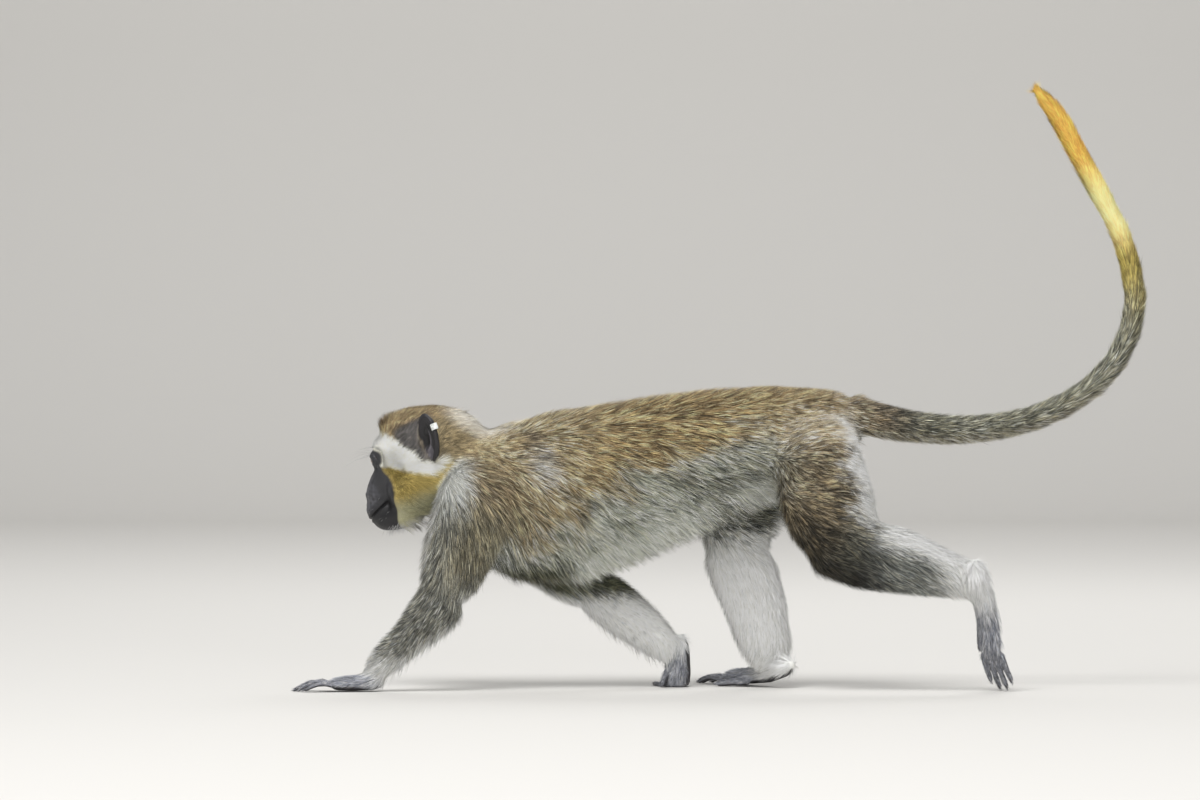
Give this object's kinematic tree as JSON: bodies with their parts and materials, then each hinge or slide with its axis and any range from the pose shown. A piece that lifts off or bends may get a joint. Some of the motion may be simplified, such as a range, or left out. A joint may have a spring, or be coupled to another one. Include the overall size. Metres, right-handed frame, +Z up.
{
  "type": "green monkey",
  "caption": "Life-size still model of a walking green monkey, head low and tail raised in an arc, with a plain tag in one ear.",
  "frame": {"origin": "middle of the model's box, at the floor under its hands and feet", "axes": "-X is the way it walks, +Y is its right side, +Z is up"},
  "size_m": [0.8182, 0.1896, 0.5777],
  "materials": {
    "crown_coat": "olive and golden fur, ticked",
    "back_coat": "olive-brown fur, ticked",
    "flank_coat": "grey and cream fur",
    "limb_coat": "grey fur",
    "tail_coat": "grey-brown fur, ticked",
    "golden_coat": "golden-orange fur",
    "bare_skin": "dark skin, satin",
    "eyes": "wet brown",
    "ear_tag": "white, satin"
  },
  "bodies": {
    "root": {"abdomen": "flank_coat", "big_toe_left": "bare_skin", "big_toe_right": "bare_skin", "chest": "flank_coat", "ear_left": "bare_skin", "ear_right": "bare_skin", "ear_tag": "ear_tag", "eye_left": "eyes", "eye_right": "eyes", "foot_left": "bare_skin", "foot_right": "bare_skin", "forearm_left": "limb_coat", "forearm_right": "limb_coat", "fourth_toe_left": "bare_skin", "fourth_toe_right": "bare_skin", "hand_left": "bare_skin", "hand_right": "bare_skin", "head": "crown_coat", "index_finger_left": "bare_skin", "index_finger_right": "bare_skin", "little_finger_left": "bare_skin", "little_finger_right": "bare_skin", "little_toe_left": "bare_skin", "little_toe_right": "bare_skin", "lower_jaw": "bare_skin", "middle_finger_left": "bare_skin", "middle_finger_right": "bare_skin", "muzzle": "bare_skin", "neck": "back_coat", "pelvis": "back_coat", "ring_finger_left": "bare_skin", "ring_finger_right": "bare_skin", "second_toe_left": "bare_skin", "second_toe_right": "bare_skin", "shank_left": "limb_coat", "shank_right": "limb_coat", "tail_bend": "tail_coat", "tail_rise": "golden_coat", "tail_root": "tail_coat", "tail_sweep": "tail_coat", "tail_tip": "golden_coat", "thigh_left": "limb_coat", "thigh_right": "limb_coat", "third_toe_left": "bare_skin", "third_toe_right": "bare_skin", "thumb_left": "bare_skin", "thumb_right": "bare_skin", "upper_arm_left": "limb_coat", "upper_arm_right": "limb_coat"}
  },
  "joints": []
}
